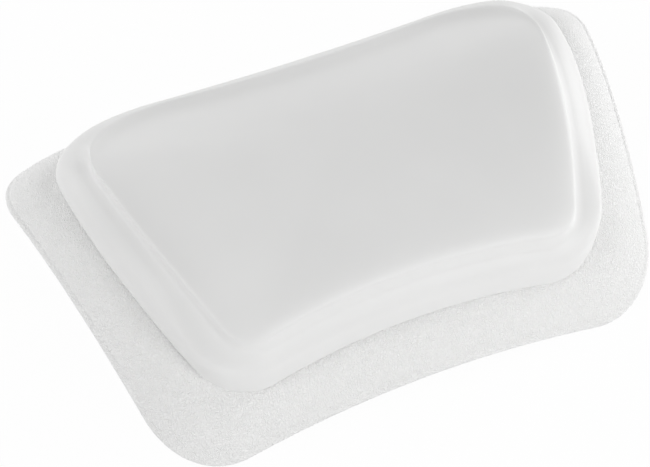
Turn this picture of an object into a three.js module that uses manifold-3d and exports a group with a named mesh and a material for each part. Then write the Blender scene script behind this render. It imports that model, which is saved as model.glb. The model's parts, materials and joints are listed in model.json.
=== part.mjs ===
// A moulded bath pillow. A grained skirt drapes over the rim of the bath, a smooth two-tier pad
// carries the head, foam fills both, and four suction cups snap into sockets on the underside.
// Millimetres, +Z up, X along the rim of the bath, +Y away from the bather.

import * as THREE from 'three';
import { mergeVertices } from 'three/addons/utils/BufferGeometryUtils.js';
import Module from 'manifold-3d';

const wasm = await Module();
wasm.setup();

// Outlines seen from above. Each is a rounded trapezoid, longer at the back, set in from the
// skirt's corners. A bow is how far an edge swells outward at its middle.
const skirt = { backHalf: 170, frontHalf: 114, depth: 202.6, archRadius: 149 };
const rimOutline = {
  side: 0, front: 0, back: 0,
  backCorner: 60.5, frontCorner: 31,
  sideBow: -3.6, frontBow: -9, backBow: 5.9,
};
const footOutline = {
  side: 36.8, front: 19, back: 25.5,
  backCorner: 42.5, frontCorner: 18.6,
  sideBow: 8.8, frontBow: -8.9, backBow: -3.1,
};
const lipOutline = {
  side: 47.5, front: 22.3, back: 29,
  backCorner: 56, frontCorner: 12,
  sideBow: 6.3, frontBow: -7.8, backBow: -17,
};

// Thicknesses and heights, measured upward from the arched underside
const skinWall = 1.5;
const fit = 0.3;
const rim = { thickness: 5, turnUnder: 7 };
const footHeight = 14.9;
const ledge = 5;

// The pad stands on the skirt's ledge. Its rise is given at the skirt's front edge, middle and back edge.
// Inside its lip the face is dished, with a low puff round its edge that turns into a trough at the back.
const pad = {
  frontRise: 33, middleRise: 27.5, backRise: 17,
  bellyBulge: 3, dish: 4, puff: 3, rollFade: 24,
};

// Suction cups and their sockets: how far they stand in from the skirt's corners, and sizes along
// each cup's own axis
const seatInset = { backSide: 72, back: 44, frontSide: 37.6, front: 46 };
const boss = { radius: 22, height: 2 };
const socket = {
  collarRadius: 10, boreRadius: 8.4, neckRadius: 4.4, leadIn: 1.2,
  petalHeight: 2.5, boreHeight: 5.5, roof: 1.5,
  flangeRadius: 16, flangeHeight: 2, slotWidth: 1.2, gripRadius: 13, gripHoleRadius: 1.8,
};
const cup = {
  radius: 22.5, height: 13, lip: 1.2, lipEdge: 0.3, sealInner: 19.5, sealOuter: 21.5,
  hollowHeight: 5.5, domeHeight: 8.6, shoulderRadius: 7, neckFillet: 1.2,
  neckRadius: 4, headRadius: 6, headHeight: 4.2, headEdge: 1.4, headTopRadius: 3.4, play: 0.4,
  tabWidth: 10, tabReach: 6.5, tabThickness: 1.2,
};

// How finely the outlines and turned pieces are divided
const sideSteps = 5;
const endSteps = 6;
const cornerSteps = 5;
const rimSteps = 4;
const turnSteps = 28;
const socketSteps = 24;
const holeSteps = 8;
const tabSteps = 4;
const levellingSteps = 6;
const overrun = 2;

// Shares chosen by hand. Each point of the pad's wall takes a share of the belly's bulge, of the
// way in from foot to lip, and of the rise. The crisp wall has a cove under a lip and the soft one
// rolls over at the back.
const crispWallShares = [
  [0, 0, 0], [0.72, 0, 0.07], [1, 0, 0.2], [0.95, 0.02, 0.33], [0.72, 0.1, 0.46], [0.38, 0.25, 0.58],
  [0.1, 0.45, 0.67], [0, 0.66, 0.73], [0, 0.84, 0.79], [0, 0.95, 0.88], [0, 1, 1],
];
const softWallShares = [
  [0, 0, 0], [0.72, 0, 0.07], [1, 0, 0.2], [0.95, 0.02, 0.34], [0.75, 0.06, 0.46], [0.45, 0.14, 0.58],
  [0.2, 0.26, 0.7], [0.05, 0.4, 0.8], [0, 0.57, 0.89], [0, 0.78, 0.96], [0, 1, 1],
];
const innerWallRows = [0, 2, 4, 6, 8, 10];
const brimShares = [[0.18, 0.26], [0.38, 0.51], [0.62, 0.76], [0.84, 0.92]];
const fillShares = [0.8, 0.6, 0.4, 0.2];
const faceShares = [0.93, ...fillShares];
const puffPowers = { inward: 3, edge: 10 };
const domeShares = [[0.58, 0.79], [0.84, 0.42]];
const hollowShares = [[0.87, 0.42], [0.56, 0.82], [0.22, 1]];
const cornerPullShare = 0.6;

const finishes = {
  skirt: { color: 0xececea, roughness: 0.62 },
  pad: { color: 0xf0f0ee, roughness: 0.38 },
  foam: { color: 0xf4efdf, roughness: 0.9 },
  back: { color: 0xe8e8e6, roughness: 0.55 },
  socket: { color: 0xe2e4e6, roughness: 0.4 },
  cup: { color: 0xd8e0e2, roughness: 0.2 },
};

const seats = ['back_left', 'back_right', 'front_left', 'front_right'].map((name) => {
  const side = name.endsWith('left') ? -1 : 1;
  if (name.startsWith('back')) {
    const x = side * (skirt.backHalf - seatInset.backSide);
    return { name, side, x, y: skirt.depth / 2 - seatInset.back };
  }
  const x = side * (skirt.frontHalf - seatInset.frontSide);
  return { name, side, x, y: seatInset.front - skirt.depth / 2 };
});

function mixOutlines(from, to, share) {
  const mixed = {};
  for (const key of Object.keys(from)) mixed[key] = THREE.MathUtils.lerp(from[key], to[key], share);
  return mixed;
}

// The outline moved inward by a distance on all four edges
function insetOutline(outline, distance) {
  const moved = { ...outline };
  for (const edge of ['side', 'front', 'back']) moved[edge] += distance;
  for (const corner of ['backCorner', 'frontCorner']) {
    moved[corner] = Math.max(moved[corner] - distance, distance);
  }
  return moved;
}

// An edge between two corners as a parabola that swells outward by the bow
function bowedEdge(start, end, bow) {
  const along = end.clone().sub(start);
  const outward = new THREE.Vector2(along.y, -along.x).normalize();
  const control = start.clone().add(end).multiplyScalar(0.5).addScaledVector(outward, 2 * bow);
  return new THREE.QuadraticBezierCurve(start, control, end);
}

// A rounded corner that leaves one edge and joins the next along their own directions
function cornerCurve(edge, leave, next, join) {
  const start = edge.getPoint(leave);
  const end = next.getPoint(join);
  const out = edge.getTangent(leave);
  const into = next.getTangent(join);
  const gap = end.clone().sub(start);
  const reach = gap.cross(into) / out.cross(into);
  const tip = start.clone().addScaledVector(out, reach);
  const first = start.clone().lerp(tip, cornerPullShare);
  const second = end.clone().lerp(tip, cornerPullShare);
  return new THREE.CubicBezierCurve(start, first, second, end);
}

// The outline as points, counterclockwise from above, in the same order and number for each one
function outlinePoints(outline) {
  const taper = (skirt.backHalf - skirt.frontHalf) / skirt.depth;
  const backHalf = skirt.backHalf - outline.side - taper * outline.back;
  const frontHalf = skirt.frontHalf - outline.side + taper * outline.front;
  const backY = skirt.depth / 2 - outline.back;
  const frontY = outline.front - skirt.depth / 2;
  const corners = [
    new THREE.Vector2(-backHalf, backY),
    new THREE.Vector2(-frontHalf, frontY),
    new THREE.Vector2(frontHalf, frontY),
    new THREE.Vector2(backHalf, backY),
  ];
  const bows = [outline.sideBow, outline.frontBow, outline.sideBow, outline.backBow];
  const radii = [outline.backCorner, outline.frontCorner, outline.frontCorner, outline.backCorner];
  const steps = [sideSteps, endSteps, sideSteps, endSteps];
  const edges = corners.map((corner, i) => bowedEdge(corner, corners[(i + 1) % 4], bows[i]));
  const spans = corners.map((corner, i) => corner.distanceTo(corners[(i + 1) % 4]));
  const points = [];
  edges.forEach((edge, i) => {
    const next = (i + 1) % 4;
    const join = radii[i] / spans[i];
    const leave = 1 - radii[next] / spans[i];
    for (let step = 0; step < steps[i]; step += 1) {
      points.push(edge.getPoint(THREE.MathUtils.lerp(join, leave, step / steps[i])));
    }
    const corner = cornerCurve(edge, leave, edges[next], radii[next] / spans[next]);
    points.push(...corner.getPoints(cornerSteps).slice(0, cornerSteps));
  });
  return points;
}

// Levels of a socket along its own axis, from the underside of the skin
const socketLevels = { bottom: -boss.height, flangeBottom: skinWall + fit };
socketLevels.petalTop = socketLevels.bottom + socket.petalHeight;
socketLevels.boreTop = socketLevels.petalTop + socket.boreHeight;
socketLevels.top = socketLevels.boreTop + socket.roof;
socketLevels.flangeTop = socketLevels.flangeBottom + socket.flangeHeight;

// The underside is part of a cylinder that lies along X: its level at a distance from the middle
const archLevel = (y) => Math.sqrt(skirt.archRadius ** 2 - y ** 2) - skirt.archRadius;

// The rim's half-round edge, from its underside to its top, as outlines with their heights
function rimSection() {
  const half = rim.thickness / 2;
  return Array.from({ length: rimSteps + 1 }, (_, step) => {
    const angle = Math.PI * (step / rimSteps - 0.5);
    const outline = insetOutline(rimOutline, half * (1 - Math.cos(angle)));
    return { outline, height: half * (1 + Math.sin(angle)) };
  });
}

const onArch = (point, height) => new THREE.Vector3(point.x, point.y, archLevel(point.y) + height);

// How the arch stands: tipped until the front and the back of its rim are level, and then moved so
// that the rim stands at zero and is centred front to back
function standing() {
  const rimPoints = rimSection().flatMap(({ outline, height }) => (
    outlinePoints(outline).map((point) => onArch(point, height))));
  const lowest = (points) => points.reduce((low, point) => (point.z < low.z ? point : low));
  const matrix = new THREE.Matrix4();
  const tipped = () => rimPoints.map((point) => point.clone().applyMatrix4(matrix));
  let tip = 0;
  for (let step = 0; step < levellingSteps; step += 1) {
    const front = lowest(tipped().filter((point) => point.y < 0));
    const back = lowest(tipped().filter((point) => point.y > 0));
    tip += Math.atan2(front.z - back.z, back.y - front.y);
    matrix.makeRotationX(tip);
  }
  const reach = tipped().map((point) => point.y);
  return matrix.setPosition(0, -(Math.max(...reach) + Math.min(...reach)) / 2, -lowest(tipped()).z);
}

const standingMatrix = standing();

// A ring of points at a height above the arched underside. The height may depend on the place.
function ring(points, heightAt) {
  return points.map((point) => {
    const height = typeof heightAt === 'number' ? heightAt : heightAt(point);
    return onArch(point, height).applyMatrix4(standingMatrix);
  });
}

const flatRing = (outline, height) => ring(outlinePoints(outline), height);

// Rings that shrink an outline toward its middle, from the widest to the narrowest
function fillRings(points, heightAt) {
  return fillShares.map((share) => {
    const shrunk = points.map((point) => point.clone().multiplyScalar(share));
    return ring(shrunk, (point) => heightAt(point, share));
  });
}

const middlePoint = (heightAt) => ring([new THREE.Vector2()], (point) => heightAt(point, 0))[0];

function geometryFrom(vertices, indices) {
  const geometry = new THREE.BufferGeometry().setFromPoints(vertices);
  geometry.setIndex(indices);
  geometry.computeVertexNormals();
  return geometry;
}

// Two rings joined by facets. Each quad is split along its shorter diagonal, so that surfaces
// that lie one above the other are split alike and keep their gap.
function joinRings(vertices, indices, lower, upper, count) {
  for (let i = 0; i < count; i += 1) {
    const next = (i + 1) % count;
    const [a, b, c, d] = [lower + i, lower + next, upper + next, upper + i];
    if (vertices[a].distanceTo(vertices[c]) < vertices[b].distanceTo(vertices[d])) {
      indices.push(a, b, c, a, c, d);
    } else {
      indices.push(a, b, d, b, c, d);
    }
  }
}

// A body whose section runs round and closes on itself, such as a frame with a window
function loopBody(rings) {
  const count = rings[0].length;
  const vertices = rings.flat();
  const indices = [];
  rings.forEach((_, i) => {
    joinRings(vertices, indices, i * count, ((i + 1) % rings.length) * count, count);
  });
  return geometryFrom(vertices, indices);
}

// A body closed by a point at each end, its rings running from the lower point to the upper one
function cappedBody(lowerPoint, rings, upperPoint) {
  const count = rings[0].length;
  const vertices = [...rings.flat(), lowerPoint, upperPoint];
  const indices = [];
  for (let i = 0; i + 1 < rings.length; i += 1) {
    joinRings(vertices, indices, i * count, (i + 1) * count, count);
  }
  const lowerIndex = rings.length * count;
  const upperStart = (rings.length - 1) * count;
  for (let i = 0; i < count; i += 1) {
    const next = (i + 1) % count;
    indices.push(lowerIndex, next, i);
    indices.push(lowerIndex + 1, upperStart + i, upperStart + next);
  }
  return geometryFrom(vertices, indices);
}

function toSolid(geometry) {
  const bare = geometry.clone();
  bare.deleteAttribute('normal');
  bare.deleteAttribute('uv');
  const merged = mergeVertices(bare);
  const vertProperties = new Float32Array(merged.attributes.position.array);
  const triVerts = new Uint32Array(merged.index.array);
  return new wasm.Manifold(new wasm.Mesh({ numProp: 3, vertProperties, triVerts }));
}

function fromSolid(solid) {
  const mesh = solid.getMesh();
  const geometry = new THREE.BufferGeometry();
  geometry.setAttribute('position', new THREE.BufferAttribute(mesh.vertProperties, 3));
  geometry.setIndex(new THREE.BufferAttribute(mesh.triVerts, 1));
  geometry.computeVertexNormals();
  return geometry;
}

// A turned piece about Z from a profile of [radius, height] pairs, listed from the top down
function turned(profile, steps = turnSteps) {
  const points = profile.map(([radius, height]) => new THREE.Vector2(radius, height)).reverse();
  return new THREE.LatheGeometry(points, steps).rotateX(Math.PI / 2);
}

function uprightCylinder(radius, bottom, top, steps = turnSteps) {
  const height = top - bottom;
  const cylinder = new THREE.CylinderGeometry(radius, radius, height, steps);
  return cylinder.rotateX(Math.PI / 2).translate(0, 0, (top + bottom) / 2);
}

// Where a cup sits: on the arched underside, with its axis square to the arch
function seatMatrix(seat) {
  const tilt = Math.asin(seat.y / skirt.archRadius);
  const matrix = new THREE.Matrix4().makeRotationX(-tilt).setPosition(onArch(seat, 0));
  return matrix.premultiply(standingMatrix);
}

function atSeats(makeGeometry) {
  return seats.map((seat) => toSolid(makeGeometry().applyMatrix4(seatMatrix(seat))));
}

// The skirt's upper surface between the top of its rim and the pad's foot
const rimTop = insetOutline(rimOutline, rim.thickness / 2);
const rimInset = skinWall + rim.thickness / 4;
const plateOutline = insetOutline(rimOutline, rim.turnUnder + fit);
const plateauOutline = insetOutline(footOutline, ledge + fit);
const brimHeight = (share) => THREE.MathUtils.lerp(rim.thickness, footHeight, share);
const brimOutline = (share) => mixOutlines(rimTop, footOutline, share);

// The upper surface from rim to foot, sunk below the outside by a depth
function brimRings(depth) {
  return brimShares.map(([inShare, riseShare]) => (
    flatRing(insetOutline(brimOutline(inShare), depth / 2), brimHeight(riseShare) - depth)));
}

// The grained cover: it turns under at the rim and ends inward at the window below the pad
function skirtCover() {
  const rimInside = insetOutline(rimOutline, rimInset);
  const window = insetOutline(footOutline, ledge);
  return loopBody([
    flatRing(insetOutline(rimOutline, rim.turnUnder), 0),
    ...rimSection().map(({ outline, height }) => flatRing(outline, height)),
    ...brimRings(0),
    flatRing(footOutline, footHeight),
    flatRing(window, footHeight),
    flatRing(window, footHeight - skinWall),
    flatRing(insetOutline(footOutline, skinWall), footHeight - skinWall),
    ...brimRings(skinWall).reverse(),
    flatRing(rimInside, rim.thickness - skinWall),
    flatRing(rimInside, skinWall),
    flatRing(insetOutline(rimOutline, rim.turnUnder), skinWall),
  ]);
}

// The pad's rise above its foot, thicker toward the neck
function riseAt(y) {
  const along = y / (skirt.depth / 2);
  const lean = (pad.backRise - pad.frontRise) / 2;
  const curve = (pad.backRise + pad.frontRise) / 2 - pad.middleRise;
  return pad.middleRise + lean * along + curve * along ** 2;
}

// One row of the pad's wall, sunk below the outside by a depth: plan points, each with its rise share
function wallRow(row, depth) {
  const place = ([bulgeShare, inShare]) => {
    const outline = mixOutlines(footOutline, lipOutline, inShare);
    return outlinePoints(insetOutline(outline, depth - pad.bellyBulge * bulgeShare));
  };
  const crisp = place(crispWallShares[row]);
  const soft = place(softWallShares[row]);
  const backEdge = Math.max(...crisp.map((point) => point.y));
  return crisp.map((point, i) => {
    const softness = THREE.MathUtils.smoothstep(point.y, backEdge - pad.rollFade, backEdge);
    const riseShare = THREE.MathUtils.lerp(crispWallShares[row][2], softWallShares[row][2], softness);
    const mixed = point.clone().lerp(soft[i], softness);
    return Object.assign(mixed, { riseShare, softness });
  });
}

function wallRing(row, depth, foot) {
  return ring(wallRow(row, depth), (point) => (
    foot + (riseAt(point.y) + footHeight - foot - depth) * point.riseShare));
}

// The face inside the lip: dished, and puffed up behind its edge or sunk there where the lip is soft
function faceHeight(y, share, softness, depth) {
  const puff = pad.puff * (1 - 2 * softness) * share ** puffPowers.inward * (1 - share ** puffPowers.edge);
  return footHeight + riseAt(y) + puff - pad.dish * (1 - share ** 2) - depth;
}

function faceRings(depth) {
  const lip = wallRow(crispWallShares.length - 1, depth);
  return faceShares.map((share) => lip.map((point) => {
    const place = point.clone().multiplyScalar(share);
    return onArch(place, faceHeight(place.y, share, point.softness, depth)).applyMatrix4(standingMatrix);
  }));
}

const faceMiddle = (depth) => middlePoint((point) => faceHeight(point.y, 0, 0, depth));

// The smooth cover: an open-bottomed shell whose edge stands on the skirt's ledge
function padCover() {
  const foot = footHeight + fit;
  return cappedBody(faceMiddle(skinWall), [
    ...faceRings(skinWall).reverse(),
    ...innerWallRows.toReversed().map((row) => wallRing(row, skinWall, foot)),
    ...crispWallShares.map((_, row) => wallRing(row, 0, foot)),
    ...faceRings(0),
  ], faceMiddle(0));
}

function headFoam() {
  const foot = footHeight + fit;
  const depth = skinWall + fit;
  return cappedBody(middlePoint(() => foot), [
    ...fillRings(outlinePoints(plateauOutline), () => foot).reverse(),
    flatRing(plateauOutline, foot),
    ...innerWallRows.map((row) => wallRing(row, depth, foot)),
    ...faceRings(depth),
  ], faceMiddle(depth));
}

// The firmer foam of the base, flush with the ledge through the skirt's window
function baseFoam() {
  const bottom = skinWall + fit;
  const edge = insetOutline(rimOutline, rimInset + fit);
  const underLedge = footHeight - skinWall - fit;
  const slab = cappedBody(middlePoint(() => bottom), [
    ...fillRings(outlinePoints(plateOutline), () => bottom).reverse(),
    flatRing(plateOutline, bottom),
    flatRing(edge, bottom),
    flatRing(edge, rim.thickness - skinWall - fit),
    ...brimRings(skinWall + fit),
    flatRing(insetOutline(footOutline, skinWall + fit), underLedge),
    flatRing(plateauOutline, underLedge),
    flatRing(plateauOutline, footHeight),
    ...fillRings(outlinePoints(plateauOutline), () => footHeight),
  ], middlePoint(() => footHeight));
  return fromSolid(atSeats(socketPocket).reduce((foam, pocket) => foam.subtract(pocket), toSolid(slab)));
}

// A plate that follows the arch inside the skirt's turned-under edge
function archedPlate(bottom, top) {
  const points = outlinePoints(plateOutline);
  return cappedBody(middlePoint(() => bottom), [
    ...fillRings(points, () => bottom).reverse(),
    flatRing(plateOutline, bottom),
    flatRing(plateOutline, top),
    ...fillRings(points, () => top),
  ], middlePoint(() => top));
}

// The rear skin, with a flat round boss and a hole for each socket
function backSkin() {
  const belowSkin = toSolid(archedPlate(-boss.radius, skinWall / 2));
  const bosses = atSeats(() => uprightCylinder(boss.radius, -boss.height, boss.height));
  const drill = boss.height + overrun;
  const holes = atSeats(() => uprightCylinder(socket.collarRadius + fit, -drill, drill));
  let skin = toSolid(archedPlate(0, skinWall));
  for (const solid of bosses) skin = skin.add(solid.intersect(belowSkin));
  for (const hole of holes) skin = skin.subtract(hole);
  return fromSolid(skin);
}

// The space that a socket takes in the foam
function socketPocket() {
  const flangeTop = socketLevels.flangeTop + fit;
  const top = socketLevels.top + fit;
  const flangeRadius = socket.flangeRadius + fit;
  const collarRadius = socket.collarRadius + fit;
  const below = -boss.height - overrun;
  return turned([
    [0, top], [collarRadius, top], [collarRadius, flangeTop], [flangeRadius, flangeTop],
    [flangeRadius, below], [0, below],
  ], socketSteps);
}

// A socket: an anchor flange inside the skin, a collar through it, and four petals that grip the neck
function cupSocket() {
  const { bottom, petalTop, boreTop, top, flangeBottom, flangeTop } = socketLevels;
  const body = turned([
    [0, top], [socket.collarRadius, top], [socket.collarRadius, flangeTop],
    [socket.flangeRadius, flangeTop], [socket.flangeRadius, flangeBottom],
    [socket.collarRadius, flangeBottom], [socket.collarRadius, bottom],
    [socket.neckRadius + socket.leadIn, bottom], [socket.neckRadius, bottom + socket.leadIn],
    [socket.neckRadius, petalTop], [socket.boreRadius, petalTop], [socket.boreRadius, boreTop], [0, boreTop],
  ], socketSteps);
  let solid = toSolid(body);
  const slotHeight = socket.petalHeight + overrun;
  const slot = new THREE.BoxGeometry(2 * socket.boreRadius - fit, socket.slotWidth, slotHeight);
  slot.translate(0, 0, petalTop + fit - slotHeight / 2);
  for (const turn of [0, Math.PI / 2]) solid = solid.subtract(toSolid(slot.clone().rotateZ(turn)));
  const hole = uprightCylinder(socket.gripHoleRadius, flangeBottom - overrun, flangeTop + overrun, holeSteps);
  hole.translate(socket.gripRadius, 0, 0);
  for (const quarter of [0.5, 1.5, 2.5, 3.5]) {
    solid = solid.subtract(toSolid(hole.clone().rotateZ(quarter * Math.PI / 2)));
  }
  return fromSolid(solid);
}

// A suction cup standing on its lip: hollow dome, neck, mushroom head and a tab to peel it off
function suctionCup(side) {
  const headBottom = cup.height + socket.petalHeight + cup.play;
  const top = headBottom + cup.headHeight;
  const body = turned([
    [0, top], [cup.headTopRadius, top], [cup.headRadius, headBottom + cup.headEdge],
    [cup.headRadius, headBottom], [cup.neckRadius, headBottom],
    [cup.neckRadius, cup.domeHeight + cup.neckFillet], [cup.shoulderRadius, cup.domeHeight],
    ...domeShares.map(([radiusShare, heightShare]) => (
      [cup.radius * radiusShare, cup.domeHeight * heightShare])),
    [cup.radius, cup.lip], [cup.radius, cup.lipEdge], [cup.sealOuter, 0], [cup.sealInner, 0],
    ...hollowShares.map(([radiusShare, heightShare]) => (
      [cup.sealInner * radiusShare, cup.hollowHeight * heightShare])),
    [0, cup.hollowHeight],
  ]);
  return fromSolid(toSolid(body).add(toSolid(peelTab(side))));
}

function peelTab(side) {
  const halfWidth = cup.tabWidth / 2;
  const straight = cup.radius + cup.tabReach - halfWidth;
  const shape = new THREE.Shape();
  shape.moveTo(cup.sealOuter, -halfWidth);
  shape.lineTo(straight, -halfWidth);
  shape.absarc(straight, 0, halfWidth, -Math.PI / 2, Math.PI / 2, false);
  shape.lineTo(cup.sealOuter, halfWidth);
  const tab = new THREE.ExtrudeGeometry(shape, {
    depth: cup.tabThickness, bevelEnabled: false, curveSegments: tabSteps,
  });
  return tab.translate(0, 0, cup.lipEdge).rotateZ(side > 0 ? 0 : Math.PI);
}

const root = new THREE.Group();

function addPiece(name, geometry, finish) {
  const mesh = new THREE.Mesh(geometry, new THREE.MeshStandardMaterial({ ...finish, metalness: 0 }));
  mesh.name = name;
  root.add(mesh);
  return mesh;
}

function placeAtSeat(mesh, seat, along) {
  mesh.applyMatrix4(seatMatrix(seat));
  mesh.translateZ(along);
}

addPiece('skirt_cover', skirtCover(), finishes.skirt);
addPiece('pad_cover', padCover(), finishes.pad);
addPiece('head_foam', headFoam(), finishes.foam);
addPiece('base_foam', baseFoam(), finishes.foam);
addPiece('back_skin', backSkin(), finishes.back);
for (const seat of seats) {
  placeAtSeat(addPiece(`cup_socket_${seat.name}`, cupSocket(), finishes.socket), seat, 0);
  const dropToLip = -boss.height - cup.height;
  placeAtSeat(addPiece(`suction_cup_${seat.name}`, suctionCup(seat.side), finishes.cup), seat, dropToLip);
}

export default root;
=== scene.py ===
"""The looks of a moulded foam bath pillow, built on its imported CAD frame.

The skins, foams, sockets and suction cups are lofted or turned by Geometry Nodes from the same
rules as the CAD solids, only finer, and each gets a procedural finish. Lengths in the forms are in
millimetres, and every finished mesh is in metres in the frame of the CAD.
"""

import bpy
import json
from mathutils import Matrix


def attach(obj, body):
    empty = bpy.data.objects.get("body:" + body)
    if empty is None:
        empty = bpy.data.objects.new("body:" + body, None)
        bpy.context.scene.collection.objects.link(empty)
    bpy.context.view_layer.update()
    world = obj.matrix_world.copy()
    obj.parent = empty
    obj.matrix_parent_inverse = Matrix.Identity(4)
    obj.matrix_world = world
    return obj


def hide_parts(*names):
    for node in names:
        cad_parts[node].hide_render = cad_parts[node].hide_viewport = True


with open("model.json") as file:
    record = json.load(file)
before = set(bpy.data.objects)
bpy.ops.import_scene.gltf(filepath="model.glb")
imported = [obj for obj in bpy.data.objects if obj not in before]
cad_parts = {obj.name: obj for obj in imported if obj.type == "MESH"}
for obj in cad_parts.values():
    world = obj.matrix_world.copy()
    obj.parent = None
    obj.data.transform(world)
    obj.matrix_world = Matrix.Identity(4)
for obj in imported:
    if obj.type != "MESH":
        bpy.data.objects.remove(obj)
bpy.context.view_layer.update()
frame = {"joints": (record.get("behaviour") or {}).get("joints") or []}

import json
import logging
import math
from dataclasses import astuple, dataclass, field, replace
from enum import Enum
from typing import Callable, Sequence

import bmesh
import bpy
import numpy as np
from mathutils import Matrix, Vector

MM = 0.001
log = logging.getLogger("bath_pillow")

Colour = tuple[float, float, float]
Span = tuple[float, float]
Profile = list[Span]
Edge = Callable[[float], np.ndarray]
Socket = bpy.types.NodeSocket

WHITE = (1, 1, 1, 1)
MERGE_DISTANCE = 2e-6
COUNT, SIZE = "NodeSocketInt", "NodeSocketFloat"
PLACE, FINISH = "NodeSocketVector", "NodeSocketMaterial"


class Seat(Enum):
    """The four places on the underside where a suction cup is snapped in."""

    BACK_LEFT = "back_left"
    BACK_RIGHT = "back_right"
    FRONT_LEFT = "front_left"
    FRONT_RIGHT = "front_right"

    @property
    def side(self) -> int:
        """Returns -1 on the left and 1 on the right."""
        return -1 if self.value.endswith("left") else 1


class Wall(Enum):
    """The sections of the pad's wall: a full belly under a cove, a round one, and a soft roll."""

    FRONT = "front"
    SIDE = "side"
    BACK = "back"


# Node trees


class Tree:
    """A node tree under construction, with short calls to add and link nodes."""

    def __init__(self, tree: bpy.types.NodeTree) -> None:
        """Keeps the tree.

        Args:
            tree: the empty or cleared tree to fill.
        """
        self.tree = tree

    def node(self, kind: str, values: dict[str | int, object] | None = None,
             **settings: object) -> bpy.types.Node:
        """Adds a node and fills it.

        Args:
            kind: the node's type name.
            values: for each input, by name or number, a value or an output socket to link.
            settings: attributes of the node itself.

        Returns:
            The new node.
        """
        node = self.tree.nodes.new(kind)
        for name, setting in settings.items():
            setattr(node, name, setting)
        for key, value in (values or {}).items():
            socket = node.inputs[key]
            if isinstance(value, Socket):
                self.tree.links.new(value, socket)
            else:
                socket.default_value = value
        return node

    def math(self, operation: str, first: object, second: object = 0.0,
             third: object = 0.0) -> Socket:
        """Adds a Math node and returns its output."""
        values = {0: first, 1: second, 2: third}
        return self.node("ShaderNodeMath", values, operation=operation).outputs[0]

    def vector(self, *parts: object) -> Socket:
        """Adds a vector of up to three parts and returns its output."""
        return self.node("ShaderNodeCombineXYZ", dict(enumerate(parts))).outputs[0]


class GeometryTree(Tree):
    """A Geometry Nodes tree with named inputs, which turns a piece's points into its mesh."""

    def __init__(self, name: str, inputs: dict[str, str]) -> None:
        """Makes the tree with its geometry input and the named ones.

        Args:
            name: the tree's name.
            inputs: for each named input its socket type.
        """
        super().__init__(bpy.data.node_groups.new(name, "GeometryNodeTree"))
        face = self.tree.interface
        face.new_socket(name="Geometry", in_out="INPUT", socket_type="NodeSocketGeometry")
        for label, kind in inputs.items():
            face.new_socket(name=label, in_out="INPUT", socket_type=kind)
        face.new_socket(name="Geometry", in_out="OUTPUT", socket_type="NodeSocketGeometry")
        self.inputs = self.node("NodeGroupInput").outputs

    def point(self, index: Socket) -> Sequence[Socket]:
        """Adds the place of one of the input's points.

        Args:
            index: the point's number.

        Returns:
            The three parts of its place.
        """
        found = self.node("GeometryNodeSampleIndex", {
            "Geometry": self.inputs["Geometry"],
            "Value": self.node("GeometryNodeInputPosition").outputs[0],
            "Index": index,
        }, data_type="FLOAT_VECTOR")
        return tuple(self.node("ShaderNodeSeparateXYZ", {0: found.outputs["Value"]}).outputs)

    def placed(self, mesh: Socket, place: Socket) -> Socket:
        """Moves a mesh's points to places of their own."""
        values = {"Geometry": mesh, "Position": place}
        return self.node("GeometryNodeSetPosition", values).outputs[0]

    def merged(self, mesh: Socket) -> Socket:
        """Merges the points of a mesh that lie on one another."""
        values = {"Geometry": mesh, "Distance": MERGE_DISTANCE}
        return self.node("GeometryNodeMergeByDistance", values).outputs[0]

    def finish(self, mesh: Socket) -> None:
        """Closes seams and poles, shades, and sets the finish.

        Args:
            mesh: the built geometry.
        """
        realized = self.node("GeometryNodeRealizeInstances", {"Geometry": mesh})
        smooth = self.node("GeometryNodeSetShadeSmooth", {
            "Geometry": self.merged(realized.outputs[0]), "Shade Smooth": True,
        })
        dressed = self.node("GeometryNodeSetMaterial", {
            "Geometry": smooth.outputs[0], "Material": self.inputs["Finish"],
        })
        self.node("NodeGroupOutput", {0: dressed.outputs[0]})

    def build(self, name: str, points: np.ndarray, values: dict[str, object],
              sharp: float | None = None) -> bpy.types.Object:
        """Runs the tree on a cloud of points and keeps the result as a plain mesh.

        Args:
            name: the piece's name.
            points: the points, one row each, in the order that the tree reads.
            values: for each named input its value.
            sharp: the angle in degrees above which an edge stays sharp, or None for none.

        Returns:
            The finished object, at the origin.
        """
        cloud = bpy.data.meshes.new(name + "_points")
        cloud.from_pydata([tuple(map(float, point)) for point in points], [], [])
        holder = bpy.data.objects.new(name + "_holder", cloud)
        bpy.context.scene.collection.objects.link(holder)
        modifier = holder.modifiers.new("build", "NODES")
        modifier.node_group = self.tree
        for item in self.tree.interface.items_tree:
            if item.in_out == "INPUT" and item.name in values:
                modifier[item.identifier] = values[item.name]
        graph = bpy.context.evaluated_depsgraph_get()
        graph.update()
        mesh = bpy.data.meshes.new_from_object(holder.evaluated_get(graph))
        holder.modifiers.remove(modifier)
        bpy.data.objects.remove(holder)
        bpy.data.meshes.remove(cloud)
        face_outward(mesh)
        if sharp is not None:
            mesh.set_sharp_from_angle(angle=math.radians(sharp))
        mesh.name = name
        piece = bpy.data.objects.new(name, mesh)
        bpy.context.scene.collection.objects.link(piece)
        return piece


def face_outward(mesh: bpy.types.Mesh) -> None:
    """Turns a closed mesh right side out if its volume is negative.

    Args:
        mesh: the mesh.
    """
    shell = bmesh.new()
    shell.from_mesh(mesh)
    if shell.calc_volume(signed=True) < 0:
        bmesh.ops.reverse_faces(shell, faces=shell.faces[:])
        shell.to_mesh(mesh)
    shell.free()


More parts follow.
